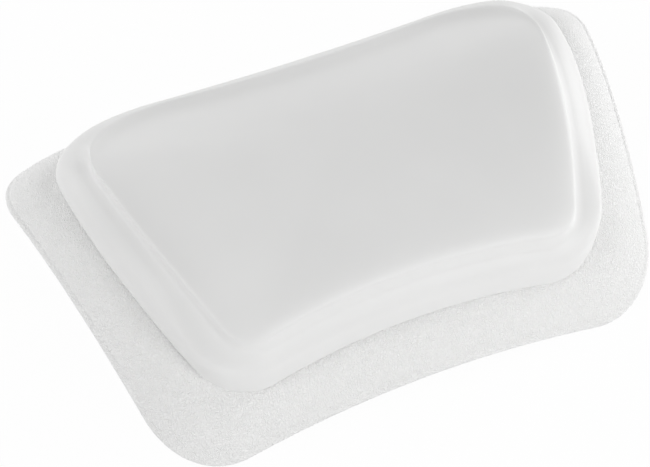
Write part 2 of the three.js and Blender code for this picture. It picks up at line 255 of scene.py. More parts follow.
def loft_tree() -> GeometryTree:
    """Makes the tree that bends a grid of points over the arch and joins it into a skin.

    A point holds its place from above and, as its third value, its height over the arch.

    Returns:
        The tree, with the inputs Rows, Columns, Arch Radius, Arch Centre, Tip and Finish.
    """
    tree = GeometryTree("arched_loft", {
        "Rows": COUNT,
        "Columns": COUNT,
        "Arch Radius": SIZE,
        "Arch Centre": PLACE,
        "Tip": SIZE,
        "Finish": FINISH,
    })
    given = tree.inputs
    grid = tree.node("GeometryNodeMeshGrid", {
        "Vertices X": given["Rows"], "Vertices Y": given["Columns"],
    })
    x, y, height = tree.point(tree.node("GeometryNodeInputIndex").outputs[0])
    radius_square = tree.math("POWER", given["Arch Radius"], 2.0)
    arch = tree.math("SQRT", tree.math("SUBTRACT", radius_square, tree.math("POWER", y, 2.0)))
    tipped = tree.node("ShaderNodeVectorRotate", {
        "Vector": tree.vector(x, y, tree.math("ADD", arch, height)), "Angle": given["Tip"],
    }, rotation_type="X_AXIS")
    stood = tree.node("ShaderNodeVectorMath", {
        0: tipped.outputs[0], 1: given["Arch Centre"],
    }, operation="ADD")
    tree.finish(tree.placed(grid.outputs["Mesh"], stood.outputs[0]))
    return tree


def revolved(tree: GeometryTree) -> Socket:
    """Adds nodes that turn the profile held by the input's points about Z.

    Args:
        tree: the tree, with the inputs Rows and Steps.

    Returns:
        The turned body, closed.
    """
    given = tree.inputs
    columns = tree.math("ADD", given["Steps"], 1.0)
    grid = tree.node("GeometryNodeMeshGrid", {"Vertices X": given["Rows"], "Vertices Y": columns})
    index = tree.node("GeometryNodeInputIndex").outputs[0]
    row = tree.math("FLOOR", tree.math("DIVIDE", tree.math("ADD", index, 0.5), columns))
    step = tree.math("SUBTRACT", index, tree.math("MULTIPLY", row, columns))
    radius, _, height = tree.point(row)
    turn = tree.math("MULTIPLY", tree.math("DIVIDE", step, given["Steps"]), 2 * math.pi)
    place = tree.vector(
        tree.math("MULTIPLY", radius, tree.math("COSINE", turn)),
        tree.math("MULTIPLY", radius, tree.math("SINE", turn)),
        height,
    )
    return tree.merged(tree.placed(grid.outputs["Mesh"], place))


def moved(tree: GeometryTree, mesh: Socket, place: Sequence[object], turn: float = 0.0) -> Socket:
    """Adds nodes that turn a mesh about Z and move it.

    Args:
        tree: the tree.
        mesh: the mesh.
        place: the three parts of the move, each a number or a socket.
        turn: the turn about Z in degrees.

    Returns:
        The moved mesh.
    """
    return tree.node("GeometryNodeTransform", {
        "Geometry": mesh,
        "Translation": tree.vector(*place),
        "Rotation": (0.0, 0.0, math.radians(turn)),
    }).outputs[0]


def box(tree: GeometryTree, sizes: Sequence[object]) -> Socket:
    """Adds a box of three sizes, each a number or a socket."""
    return tree.node("GeometryNodeMeshCube", {"Size": tree.vector(*sizes)}).outputs["Mesh"]


def cylinder(tree: GeometryTree, radius: object, depth: object, steps: int = 32) -> Socket:
    """Adds an upright cylinder about the origin."""
    values = {"Vertices": steps, "Radius": radius, "Depth": depth}
    return tree.node("GeometryNodeMeshCylinder", values).outputs["Mesh"]


def together(tree: GeometryTree, body: Socket, others: Sequence[Socket], operation: str) -> Socket:
    """Adds a boolean of a body and other meshes.

    Args:
        tree: the tree.
        body: the body.
        others: the meshes that are joined to it or cut from it.
        operation: UNION or DIFFERENCE.

    Returns:
        The result.
    """
    node = tree.node("GeometryNodeMeshBoolean", operation=operation, solver="MANIFOLD")
    if operation == "DIFFERENCE":
        tree.tree.links.new(body, node.inputs["Mesh 1"])
    else:
        others = [body, *others]
    for other in others:
        tree.tree.links.new(other, node.inputs["Mesh 2"])
    return node.outputs["Mesh"]


# The form of the pillow


@dataclass(frozen=True)
class Outline:
    """A rounded trapezoid seen from above, set in from the skirt's corners."""

    side: float
    front: float
    back: float
    back_corner: float
    front_corner: float
    side_bow: float
    front_bow: float
    back_bow: float

    def inset(self, distance: float) -> "Outline":
        """Returns the outline moved inward by a distance on all four edges."""
        return replace(
            self,
            side=self.side + distance,
            front=self.front + distance,
            back=self.back + distance,
            back_corner=max(self.back_corner - distance, distance),
            front_corner=max(self.front_corner - distance, distance),
        )

    def mixed(self, other: "Outline", share: float) -> "Outline":
        """Returns the outline a share of the way to another."""
        pairs = zip(astuple(self), astuple(other))
        return Outline(*((1 - share) * here + share * there for here, there in pairs))


@dataclass(frozen=True)
class Steps:
    """How many points an outline gets along its edges and corners."""

    side: int = 44
    end: int = 56
    corner: int = 34

    @property
    def round_trip(self) -> int:
        """Returns the points of a whole outline, its first one repeated at the end."""
        return 2 * (self.side + self.end) + 4 * self.corner + 1


@dataclass(frozen=True)
class PillowForm:
    """The rules of the pillow's shape, in millimetres, that its skins and foams share."""

    back_half: float = 170.0
    front_half: float = 114.0
    depth: float = 202.6
    arch_radius: float = 149.0
    rim: Outline = Outline(0, 0, 0, 60.5, 31, -3.6, -9, 5.9)
    foot: Outline = Outline(36.8, 19, 25.5, 42.5, 18.6, 8.8, -8.9, -3.1)
    lip: Outline = Outline(47.5, 22.3, 29, 56, 12, 6.3, -7.8, -17)
    skin: float = 1.5
    gap: float = 0.3
    rim_thickness: float = 5.0
    turn_under: float = 7.0
    foot_height: float = 14.9
    ledge: float = 5.0
    front_rise: float = 33.0
    middle_rise: float = 27.5
    back_rise: float = 17.0
    belly_bulge: float = 3.0
    dish: float = 4.0
    puff: float = 3.0
    trough: float = 3.4
    trough_reach: float = 11.0
    roll_fade: float = 32.0
    roll_full: float = 6.0
    front_fade: float = 40.0
    corner_pull: float = 0.6
    seat_y: float = 57.3
    seat_drop: float = 15.0
    steps: Steps = Steps()

    @property
    def rim_inset(self) -> float:
        """Returns how far the inside of the rolled rim lies in from its outline."""
        return self.skin + self.rim_thickness / 4

    def outline_points(self, outline: Outline) -> np.ndarray:
        """Samples an outline counterclockwise from the back left corner.

        Args:
            outline: the outline to sample.

        Returns:
            The points from above, one row each, the first repeated at the end.
        """
        taper = (self.back_half - self.front_half) / self.depth
        back_half = self.back_half - outline.side - taper * outline.back
        front_half = self.front_half - outline.side + taper * outline.front
        back_y = self.depth / 2 - outline.back
        front_y = outline.front - self.depth / 2
        corners = np.array([
            (-back_half, back_y), (-front_half, front_y),
            (front_half, front_y), (back_half, back_y),
        ])
        bows = (outline.side_bow, outline.front_bow, outline.side_bow, outline.back_bow)
        front, back = outline.front_corner, outline.back_corner
        radii = (back, front, front, back)
        counts = (self.steps.side, self.steps.end, self.steps.side, self.steps.end)
        edges = [self.edge(corners[i], corners[(i + 1) % 4], bows[i]) for i in range(4)]
        points = []
        for i, (edge, span) in enumerate(edges):
            following, next_span = edges[(i + 1) % 4]
            join, leave = radii[i] / span, 1 - radii[(i + 1) % 4] / span
            shares = join + (leave - join) * np.arange(counts[i]) / counts[i]
            points.extend(edge(share) for share in shares)
            points.extend(self.corner(edge, leave, following, radii[(i + 1) % 4] / next_span))
        return np.array([*points, points[0]])

    @staticmethod
    def edge(start: np.ndarray, end: np.ndarray, bow: float) -> tuple[Edge, float]:
        """Makes an edge between two corners that swells outward by its bow.

        Args:
            start: the first corner.
            end: the second corner.
            bow: the swell at the edge's middle.

        Returns:
            A function of the share along the edge, and the edge's length.
        """
        along = end - start
        span = float(np.hypot(*along))
        outward = np.array((along[1], -along[0])) / span

        def at(share: float) -> np.ndarray:
            """Returns the edge's point at a share of its way."""
            return start + along * share + outward * (4 * bow * share * (1 - share))

        return at, span

    def corner(self, edge: Edge, leave: float, following: Edge, join: float) -> np.ndarray:
        """Rounds the corner from one edge to the next along their own directions.

        Args:
            edge: the edge that the corner leaves.
            leave: the share at which it leaves.
            following: the edge that it joins.
            join: the share at which it joins.

        Returns:
            The corner's points, without its last one.
        """
        nudge = 1e-4
        start, end = edge(leave), following(join)
        out = edge(leave) - edge(leave - nudge)
        into = following(join + nudge) - following(join)
        gap = end - start
        reach = (gap[0] * into[1] - gap[1] * into[0]) / (out[0] * into[1] - out[1] * into[0])
        tip = start + out * reach
        first = start + (tip - start) * self.corner_pull
        second = end + (tip - end) * self.corner_pull
        t = (np.arange(self.steps.corner) / self.steps.corner)[:, None]
        return ((1 - t) ** 3 * start + 3 * (1 - t) ** 2 * t * first
                + 3 * (1 - t) * t * t * second + t ** 3 * end)

    def rise_at(self, y: np.ndarray) -> np.ndarray:
        """Finds the pad's rise above its foot.

        Args:
            y: places front to back.

        Returns:
            The rise at each place.
        """
        along = y / (self.depth / 2)
        lean = (self.back_rise - self.front_rise) / 2
        curve = (self.back_rise + self.front_rise) / 2 - self.middle_rise
        return self.middle_rise + lean * along + curve * along ** 2

    def softness(self, y: np.ndarray) -> np.ndarray:
        """Returns how far each point of a row belongs to the soft roll at the back."""
        return soft_step((y - y.max() + self.roll_fade) / (self.roll_fade - self.roll_full))

    def wall_weights(self, y: np.ndarray) -> dict[Wall, np.ndarray]:
        """Shares a row out among the wall's sections.

        Args:
            y: the places of its points front to back.

        Returns:
            For each section how far each point belongs to it.
        """
        back = self.softness(y)
        front = soft_step((y.min() + self.front_fade - y) / self.front_fade)
        return {Wall.FRONT: front, Wall.SIDE: 1 - front - back, Wall.BACK: back}

    def flat_row(self, outline: Outline, height: float) -> np.ndarray:
        """Returns an outline's points at one height over the arch."""
        points = self.outline_points(outline)
        return np.column_stack([points, np.full(len(points), height)])

    def standing(self) -> tuple[Vector, float]:
        """Finds how the arch stands from the joint of the back left suction cup.

        Returns:
            The centre of the arch in metres, and the angle by which it is tipped.
        """
        lip, axis = cup_joint(Seat.BACK_LEFT)
        centre = lip + axis * ((self.seat_drop - self.arch_radius) * MM)
        tip = math.asin(self.seat_y / self.arch_radius) - math.atan2(axis.y, axis.z)
        return Vector((0.0, centre.y, centre.z)), tip


def cup_joint(seat: Seat) -> tuple[Vector, Vector]:
    """Finds a suction cup's joint in the frame.

    Args:
        seat: the cup's seat.

    Returns:
        The place of the joint in metres, and its axis.
    """
    joint = next(joint for joint in frame["joints"] if joint["child"] == f"cup_{seat.value}")
    return Vector(joint["pos_m"]), Vector(joint["axis"]).normalized()


def soft_step(share: np.ndarray) -> np.ndarray:
    """Returns a soft step from 0 to 1 while a share goes from 0 to 1."""
    t = np.clip(share, 0, 1)
    return t * t * (3 - 2 * t)


def smooth_rows(rows: Sequence[Sequence[float]], between: int) -> np.ndarray:
    """Fills a table with rows on a smooth curve through the given ones.

    Args:
        rows: the rows of the table, in order.
        between: how many steps each interval gets.

    Returns:
        The filled table, the given rows among its own.
    """
    table = np.array(rows, float)
    padded = np.vstack([2 * table[0] - table[1], table, 2 * table[-1] - table[-2]])
    filled = []
    for i in range(1, len(padded) - 2):
        before, start, end, after = padded[i - 1:i + 3]
        for step in range(between):
            t = step / between
            filled.append(0.5 * (
                2 * start + (end - before) * t + (2 * before - 5 * start + 4 * end - after) * t * t
                + (3 * start - before - 3 * end + after) * t ** 3
            ))
    return np.array([*filled, table[-1]])


def rounded(profile: Profile, radius: float, least: float = 25.0, most: float = 0.45,
            steps: int = 4) -> Profile:
    """Rounds the corners of a profile, apart from its two ends.

    Args:
        profile: radius and height of each point.
        radius: how far from a corner its rounding starts.
        least: the turn in degrees above which a corner is rounded.
        most: how much of an edge a rounding takes at most.
        steps: how many steps a rounding gets.

    Returns:
        The rounded profile.
    """
    points = [Vector(point) for point in profile]
    result = [points[0]]
    for before, corner, after in zip(points, points[1:], points[2:]):
        back, on = before - corner, after - corner
        if math.degrees(back.angle(-on)) < least:
            result.append(corner)
            continue
        start = corner + back.normalized() * min(radius, most * back.length)
        end = corner + on.normalized() * min(radius, most * on.length)
        for step in range(steps + 1):
            t = step / steps
            result.append((1 - t) ** 2 * start + 2 * (1 - t) * t * corner + t * t * end)
    return [tuple(point) for point in [*result, points[-1]]]


@dataclass(frozen=True)
class SocketSizes:
    """A suction cup's socket, in millimetres, its heights told from the arched underside."""

    boss_radius: float = 22.0
    boss_height: float = 2.0
    collar: float = 10.0
    bore: float = 8.4
    neck: float = 4.4
    lead_in: float = 1.2
    petal_height: float = 2.5
    bore_height: float = 5.5
    roof: float = 1.5
    flange: float = 16.0
    flange_bottom: float = 1.8
    flange_height: float = 2.0
    slot_width: float = 1.2
    grip_circle: float = 13.0
    grip_hole: float = 1.8
    rounding: float = 0.3
    run_out: float = 2.0

    @property
    def bottom(self) -> float:
        """Returns the level of the socket's open end."""
        return -self.boss_height

    @property
    def petal_top(self) -> float:
        """Returns the level at which the petals end and the bore starts."""
        return self.bottom + self.petal_height

    @property
    def bore_top(self) -> float:
        """Returns the level of the bore's roof."""
        return self.petal_top + self.bore_height

    @property
    def top(self) -> float:
        """Returns the level of the socket's closed end."""
        return self.bore_top + self.roof

    @property
    def flange_top(self) -> float:
        """Returns the level of the anchor flange's upper side."""
        return self.flange_bottom + self.flange_height

    def body(self) -> Profile:
        """Returns the profile of the socket from its top down."""
        return rounded([
            (0, self.top), (self.collar, self.top), (self.collar, self.flange_top),
            (self.flange, self.flange_top), (self.flange, self.flange_bottom),
            (self.collar, self.flange_bottom), (self.collar, self.bottom),
            (self.neck + self.lead_in, self.bottom), (self.neck, self.bottom + self.lead_in),
            (self.neck, self.petal_top), (self.bore, self.petal_top),
            (self.bore, self.bore_top), (0, self.bore_top),
        ], self.rounding)

    def pocket(self, gap: float) -> Profile:
        """Draws the space that the socket takes in the foam.

        Args:
            gap: the gap round the socket.

        Returns:
            The profile of the space, from its top down and out of the foam.
        """
        collar, flange, below = self.collar + gap, self.flange + gap, self.bottom - self.run_out
        return [(0, self.top + gap), (collar, self.top + gap), (collar, self.flange_top + gap),
                (flange, self.flange_top + gap), (flange, below), (0, below)]


@dataclass(frozen=True)
class CupSizes:
    """A suction cup, in millimetres, standing on its lip."""

    radius: float = 22.5
    height: float = 13.0
    lip: float = 1.2
    lip_edge: float = 0.3
    seal_inner: float = 19.5
    seal_outer: float = 21.5
    hollow: float = 5.5
    dome: float = 8.6
    shoulder: float = 7.0
    neck_fillet: float = 1.2
    neck: float = 4.0
    head: float = 6.0
    head_height: float = 4.2
    head_edge: float = 1.4
    head_top: float = 3.4
    play: float = 0.4
    tab_width: float = 10.0
    tab_reach: float = 6.5
    tab_thickness: float = 1.2
    ribs: int = 3
    rib_pitch: float = 1.6
    rib_radius: float = 0.35
    rounding: float = 0.5
    curve_steps: int = 8
    dome_shares: tuple[tuple[float, float], ...] = ((0.58, 0.79), (0.84, 0.42))
    hollow_shares: tuple[tuple[float, float], ...] = ((0.87, 0.42), (0.56, 0.82), (0.22, 1))

    def body(self, petal_height: float) -> Profile:
        """Returns the profile of the cup from its head down to its hollow.

        Args:
            petal_height: the height of the socket's petals, which the head passes.

        Returns:
            The profile.
        """
        head_bottom = self.height + petal_height + self.play
        dome = smooth_rows([
            (self.shoulder, self.dome),
            *((self.radius * r, self.dome * h) for r, h in self.dome_shares),
            (self.radius, self.lip),
        ], self.curve_steps)
        hollow = smooth_rows([
            (self.seal_inner, 0),
            *((self.seal_inner * r, self.hollow * h) for r, h in self.hollow_shares),
            (0, self.hollow),
        ], self.curve_steps)
        return rounded([
            (0, head_bottom + self.head_height), (self.head_top, head_bottom + self.head_height),
            (self.head, head_bottom + self.head_edge), (self.head, head_bottom),
            (self.neck, head_bottom), (self.neck, self.dome + self.neck_fillet), *map(tuple, dome),
            (self.radius, self.lip_edge), (self.seal_outer, 0), *map(tuple, hollow),
        ], self.rounding)


# Finishes


@dataclass(frozen=True)
class Finish:
    """A procedural finish, built as a shader tree. Its sizes are in millimetres."""

    name: str
    colour: Colour
    roughness: float
    cloud_size: float
    depth: float
    tints: Span = (0.95, 1.03)
    unevenness: Span = (0.0, 0.0)
    index: float = 1.5

    def material(self) -> bpy.types.Material:
        """Makes the finish's material at its first use.

        Returns:
            The material.
        """
        title = self.name + "_finish"
        made = bpy.data.materials.get(title)
        if made is None:
            made = bpy.data.materials.new(title)
            made.use_nodes = True
            made.node_tree.nodes.clear()
            self.paint(Tree(made.node_tree))
        return made

    def paint(self, tree: Tree) -> None:
        """Fills the shader tree.

        Args:
            tree: the material's empty tree.
        """
        raise NotImplementedError

    def shade(self, tree: Tree, shade: Socket, rough: object, height: Socket,
              invert: bool = False, clearness: float = 0.0) -> None:
        """Ends the tree in a Principled shader.

        Args:
            tree: the material's tree.
            shade: the value from 0 to 1 that chooses between the colour's tints.
            rough: the roughness, a number or a socket.
            height: the height of the relief, from 0 to 1.
            invert: whether the relief is sunk where it is high.
            clearness: how much light passes through.
        """
        bump = tree.node("ShaderNodeBump", {
            "Height": height, "Distance": self.depth * MM, "Strength": 1.0,
        }, invert=invert)
        shader = tree.node("ShaderNodeBsdfPrincipled", {
            "Base Color": self.tint(tree, shade),
            "Roughness": rough,
            "Normal": bump.outputs[0],
            "IOR": self.index,
            "Transmission Weight": clearness,
        })
        tree.node("ShaderNodeOutputMaterial", {"Surface": shader.outputs[0]})

    def noise(self, tree: Tree, size: float, detail: float, **values: object) -> Socket:
        """Adds noise whose features have a size.

        Args:
            tree: the material's tree.
            size: the size of the features.
            detail: how many finer layers are added.
            values: further inputs of the noise.

        Returns:
            The noise, around 0.5.
        """
        scale = 1 / (size * MM)
        given = {"Vector": object_place(tree), "Scale": scale, "Detail": detail, **values}
        return tree.node("ShaderNodeTexNoise", given).outputs[0]

    def cells(self, tree: Tree, place: Socket, size: float, kind: str,
              randomness: float = 1.0) -> Socket:
        """Adds cells of a size.

        Args:
            tree: the material's tree.
            place: the coordinates that they lie on.
            size: the size of a cell.
            kind: which distance in a cell is given.
            randomness: how uneven the cells are.

        Returns:
            The distance.
        """
        given = {"Vector": place, "Scale": 1 / (size * MM), "Randomness": randomness}
        return tree.node("ShaderNodeTexVoronoi", given, feature=kind).outputs["Distance"]

    def soft_step(self, tree: Tree, amount: Socket, top: float) -> Socket:
        """Adds a soft step from 0 to 1 while an amount goes from 0 to a top."""
        values, kind = {0: amount, 2: top}, "SMOOTHSTEP"
        return tree.node("ShaderNodeMapRange", values, interpolation_type=kind).outputs[0]

    def uneven(self, tree: Tree, amount: Socket) -> Socket:
        """Adds the roughness, uneven by an amount from 0 to 1."""
        low, high = (self.roughness + change for change in self.unevenness)
        return tree.node("ShaderNodeMapRange", {0: amount, 3: low, 4: high}).outputs[0]

    def mix(self, tree: Tree, first: Socket, share: float, second: Socket) -> Socket:
        """Adds the sum of a share of one amount and the rest of another."""
        return tree.math("MULTIPLY_ADD", first, share, tree.math("MULTIPLY", second, 1 - share))

    def tint(self, tree: Tree, amount: Socket) -> Socket:
        """Adds the colour, scaled between its tints.

        Args:
            tree: the material's tree.
            amount: the value from 0 to 1 that chooses between them.

        Returns:
            The colour.
        """
        ramp = tree.node("ShaderNodeValToRGB", {0: amount})
        for stop, tint in zip(ramp.color_ramp.elements, self.tints):
            stop.color = (*(tint * part for part in self.colour), 1)
        return ramp.outputs[0]


def object_place(tree: Tree) -> Socket:
    """Adds the place on the object itself."""
    return tree.node("ShaderNodeTexCoord").outputs["Object"]


@dataclass(frozen=True)
class SmoothFinish(Finish):
    """A smooth moulded surface, with faint cloudy flow marks and a fine peel."""

    peel_size: float = 1.0
    cloud_twist: float = 0.0
    clearness: float = 0.0

    def paint(self, tree: Tree) -> None:
        """Fills the shader tree.

        Args:
            tree: the material's empty tree.
        """
        clouds = self.noise(tree, self.cloud_size, 3, Distortion=self.cloud_twist)
        peel = self.noise(tree, self.peel_size, 2)
        self.shade(tree, clouds, self.uneven(tree, clouds), peel, clearness=self.clearness)


@dataclass(frozen=True)
class SatinSkin(SmoothFinish):
    """The pad's smooth skin: satin, with a trace of orange peel."""

    name: str = "smooth_skin"
    colour: Colour = (0.84, 0.84, 0.835)
    roughness: float = 0.42
    cloud_size: float = 38.0
    depth: float = 0.012
    tints: Span = (0.975, 1.02)
    unevenness: Span = (-0.05, 0.05)
    index: float = 1.45
    peel_size: float = 1.6


@dataclass(frozen=True)
class SocketPlastic(SmoothFinish):
    """White moulded plastic: satin, with faint flow marks."""

    name: str = "socket_plastic"
    colour: Colour = (0.78, 0.79, 0.8)
    roughness: float = 0.32
    cloud_size: float = 6.0
    depth: float = 0.008
    tints: Span = (0.96, 1.03)
    unevenness: Span = (-0.06, 0.08)
    index: float = 1.49
    peel_size: float = 0.5
    cloud_twist: float = 1.5


@dataclass(frozen=True)
class ClearVinyl(SmoothFinish):
    """Soft clear vinyl: glossy and slightly milky, with a faint blue cast."""

    name: str = "clear_vinyl"
    colour: Colour = (0.86, 0.92, 0.94)
    roughness: float = 0.14
    cloud_size: float = 9.0
    depth: float = 0.02
    tints: Span = (0.95, 1.03)
    unevenness: Span = (-0.04, 0.1)
    index: float = 1.53
    peel_size: float = 2.5
    clearness: float = 0.62


@dataclass(frozen=True)
class GrainedSkin(Finish):
    """Leather-like moulded skin: winding wrinkles between small pebbles, with painted shade in the
    grain's hollows and a painted highlight on its crests.
    """

    name: str = "grained_skin"
    colour: Colour = (0.96, 0.96, 0.955)
    roughness: float = 0.5
    cloud_size: float = 45.0
    depth: float = 0.28
    # The tints run from the painted shade in the grain's hollows to the painted highlight on its
    # crests.
    tints: Span = (0.95, 1.02)
    unevenness: Span = (0.12, -0.06)
    index: float = 1.45
    bend_size: float = 2.5
    bend: float = 1.6
    pebble_size: float = 1.5
    pebble_edge: float = 0.3
    wrinkle_size: float = 1.1
    wrinkle_edge: float = 0.12

    def paint(self, tree: Tree) -> None:
        """Fills the shader tree.

        Args:
            tree: the material's empty tree.
        """
        place = object_place(tree)
        warp = tree.node("ShaderNodeTexNoise", {
            "Vector": place, "Scale": 1 / (self.bend_size * MM), "Detail": 1.0,
        })
        push = tree.node("ShaderNodeVectorMath", {
            0: warp.outputs[1], 3: self.bend * MM,
        }, operation="SCALE")
        bent = tree.node("ShaderNodeVectorMath", {0: place, 1: push.outputs[0]}, operation="ADD")
        edges = self.cells(tree, bent.outputs[0], self.pebble_size, "DISTANCE_TO_EDGE")
        pebble = self.soft_step(tree, edges, self.pebble_edge)
        folds = self.noise(tree, self.wrinkle_size, 1)
        ridge = tree.math("ABSOLUTE", tree.math("SUBTRACT", folds, 0.5))
        grain_and_painted_shade = self.mix(tree, self.soft_step(tree, ridge, self.wrinkle_edge), 0.5, pebble)
        # The colour follows the grain's height over faint clouds: painted shade in the wrinkles and
        # between the pebbles, a painted highlight on the crests.
        shade = self.mix(tree, self.noise(tree, self.cloud_size, 2), 0.25, grain_and_painted_shade)
        self.shade(tree, shade, self.uneven(tree, grain_and_painted_shade), grain_and_painted_shade)


@dataclass(frozen=True)
class OpenFoam(Finish):
    """Open-cell foam: small round cells with thin walls, matt all over, with painted shade in the
    cells' hollows.
    """

    roughness: float = 0.95
    cloud_size: float = 20.0
    depth: float = 0.35
    # The tints run from the painted shade in the cells' hollows to their walls.
    tints: Span = (0.82, 1.03)
    cell_size: float = 0.9
    cell_edge: float = 0.7

    def paint(self, tree: Tree) -> None:
        """Fills the shader tree.

        Args:
            tree: the material's empty tree.
        """
        middles = self.cells(tree, object_place(tree), self.cell_size, "SMOOTH_F1")
        wall = self.soft_step(tree, middles, self.cell_edge)
        # The colour is darker in the middle of each cell, painted shade in its hollow, over faint
        # clouds.
        shade = self.mix(tree, self.noise(tree, self.cloud_size, 2), 0.4, wall)
        self.shade(tree, shade, self.roughness, wall)


@dataclass(frozen=True)
class SoftFoam(OpenFoam):
    """The head pad's soft foam."""

    name: str = "soft_foam"
    colour: Colour = (0.88, 0.84, 0.72)


@dataclass(frozen=True)
class FirmFoam(OpenFoam):
    """The base's firmer foam, with smaller cells."""

    name: str = "firm_foam"
    colour: Colour = (0.84, 0.79, 0.66)
    cell_size: float = 0.6


@dataclass(frozen=True)
class RearSkin(Finish):
    """The plain rear skin: matt, with a fine even pebble."""

    name: str = "rear_skin"
    colour: Colour = (0.74, 0.74, 0.73)
    roughness: float = 0.6
    cloud_size: float = 30.0
    depth: float = 0.08
    tints: Span = (0.94, 1.04)
    unevenness: Span = (-0.07, 0.07)
    pebble_size: float = 0.7
    randomness: float = 0.8

    def paint(self, tree: Tree) -> None:
        """Fills the shader tree.

        Args:
            tree: the material's empty tree.
        """
        place = object_place(tree)
        pebbles = self.cells(tree, place, self.pebble_size, "SMOOTH_F1", self.randomness)
        clouds = self.noise(tree, self.cloud_size, 3)
        self.shade(tree, clouds, self.uneven(tree, clouds), pebbles, invert=True)


# The studio


@dataclass(frozen=True)
class Softbox:
    """A soft area lamp that faces the object, its angles in degrees and its sizes in metres."""

    name: str
    azimuth: float
    elevation: float
    power: float
    size: float = 0.8
    distance: float = 1.3

    def hang(self, target: Vector) -> None:
        """Hangs the lamp round a target.

        Args:
            target: the point that it faces.
        """
        data = bpy.data.lights.new(self.name, "AREA")
        data.shape = "SQUARE"
        data.size = self.size
        data.energy = self.power
        lamp = bpy.data.objects.new(self.name, data)
        bpy.context.scene.collection.objects.link(lamp)
        toward = direction(self.azimuth, self.elevation)
        lamp.location = target + toward * self.distance
        lamp.rotation_euler = toward.to_track_quat("Z", "Y").to_euler()


def direction(azimuth: float, elevation: float) -> Vector:
    """Returns the unit vector from the object toward a place, azimuth 0 at its front."""
    a, e = math.radians(azimuth), math.radians(elevation)
    return Vector((math.sin(a) * math.cos(e), -math.cos(a) * math.cos(e), math.sin(e)))


def seen_share(tree: Tree) -> Socket:
    """Adds 1 on rays from the camera, reflections and what shows through, and 0 on others.

    Args:
        tree: the tree of a material or the world.

    Returns:
        The value.
    """
    rays = tree.node("ShaderNodeLightPath").outputs
    mirrored = tree.math("MAXIMUM", rays["Is Glossy Ray"], rays["Is Transmission Ray"])
    return tree.math("MAXIMUM", rays["Is Camera Ray"], mirrored)


@dataclass
class Studio:
    """The pale floor, the soft light and the camera, which is told from the arch's crown."""

    form: PillowForm
    azimuth: float = -15.5
    elevation: float = 56.8
    roll: float = -6.0
    distance: float = 0.42
    lens: float = 54.7
    target: tuple[float, float, float] = (-23.0, -36.9, 22.5)
    floor_reach: float = 6.0
    floor_grey: float = 0.95
    floor_white: float = 0.97
    ambient: float = 0.325
    lamp_target: tuple[float, float, float] = (0.0, 0.0, 0.04)
    boxes: tuple[Softbox, ...] = (
        Softbox("front", 22, 20, 7.2),
        Softbox("right", 105, 20, 7.2),
        Softbox("back", 175, 10, 2.6, 1.2),
        Softbox("back_left", -135, 20, 3.9),
        Softbox("left", -80, 30, 4.2),
    )

    def camera(self) -> None:
        """Places the camera where it saw the pillow."""
        centre, tip = self.form.standing()
        crown = Matrix.Translation((0, 0, self.form.arch_radius * MM))
        stand = Matrix.Translation(centre) @ Matrix.Rotation(tip, 4, "X") @ crown
        back = direction(self.azimuth, self.elevation)
        look = back.to_track_quat("Z", "Y").to_matrix().to_4x4()
        turn = Matrix.Rotation(math.radians(self.roll), 4, "Z")
        spot = Vector(self.target) * MM + back * self.distance
        data = bpy.data.cameras.new("camera")
        data.lens = self.lens
        data.sensor_width = 36.0
        data.clip_start, data.clip_end = 0.02, 20.0
        camera = bpy.data.objects.new("camera", data)
        camera.matrix_world = stand @ Matrix.Translation(spot) @ look @ turn
        bpy.context.scene.collection.objects.link(camera)
        bpy.context.scene.camera = camera

    def floor(self) -> None:
        """Lays the pale floor, which looks white and keeps a faint shadow."""
        mesh = bpy.data.meshes.new("floor")
        reach = self.floor_reach
        corners = [(-reach, -reach, 0), (reach, -reach, 0), (reach, reach, 0), (-reach, reach, 0)]
        mesh.from_pydata(corners, [], [(0, 1, 2, 3)])
        floor = bpy.data.objects.new("floor", mesh)
        bpy.context.scene.collection.objects.link(floor)
        material = bpy.data.materials.new("pale_floor")
        material.use_nodes = True
        material.node_tree.nodes.clear()
        tree = Tree(material.node_tree)
        matt = tree.node("ShaderNodeBsdfDiffuse", {"Color": (*(self.floor_grey,) * 3, 1)})
        glow = tree.node("ShaderNodeEmission", {"Color": WHITE, "Strength": 1.0})
        share = tree.math("MULTIPLY", seen_share(tree), self.floor_white)
        mixed = tree.node("ShaderNodeMixShader", {
            0: share, 1: matt.outputs[0], 2: glow.outputs[0],
        })
        tree.node("ShaderNodeOutputMaterial", {"Surface": mixed.outputs[0]})
        mesh.materials.append(material)

    def world(self) -> None:
        """Fills the room with even light, white where it is seen."""
        world = bpy.data.worlds.new("room")
        world.use_nodes = True
        world.node_tree.nodes.clear()
        tree = Tree(world.node_tree)
        even = tree.node("ShaderNodeBackground", {"Color": WHITE, "Strength": self.ambient})
        white = tree.node("ShaderNodeBackground", {"Color": WHITE, "Strength": 1.0})
        mixed = tree.node("ShaderNodeMixShader", {
            0: seen_share(tree), 1: even.outputs[0], 2: white.outputs[0],
        })
        tree.node("ShaderNodeOutputWorld", {0: mixed.outputs[0]})
        bpy.context.scene.world = world

    def build(self) -> None:
        """Sets the camera, the floor, the room and the lamps."""
        self.camera()
        self.floor()
        self.world()
        for box in self.boxes:
            box.hang(Vector(self.lamp_target))
        bpy.context.scene.view_settings.view_transform = "Standard"


# The pieces


def turned_points(profile: Profile) -> np.ndarray:
    """Returns a profile's points in metres, as the trees that turn it about Z read them."""
    return np.array([(radius, 0, height) for radius, height in profile]) * MM


def seat_matrix(seat: Seat) -> Matrix:
    """Finds a seat on the arched underside.

    Args:
        seat: the seat.

    Returns:
        Its place, the Z axis along the cup's own.
    """
    lip, axis = cup_joint(seat)
    root = lip + axis * PillowForm.seat_drop * MM
    return Matrix.Translation(root) @ Matrix.Rotation(-math.atan2(axis.y, axis.z), 4, "X")


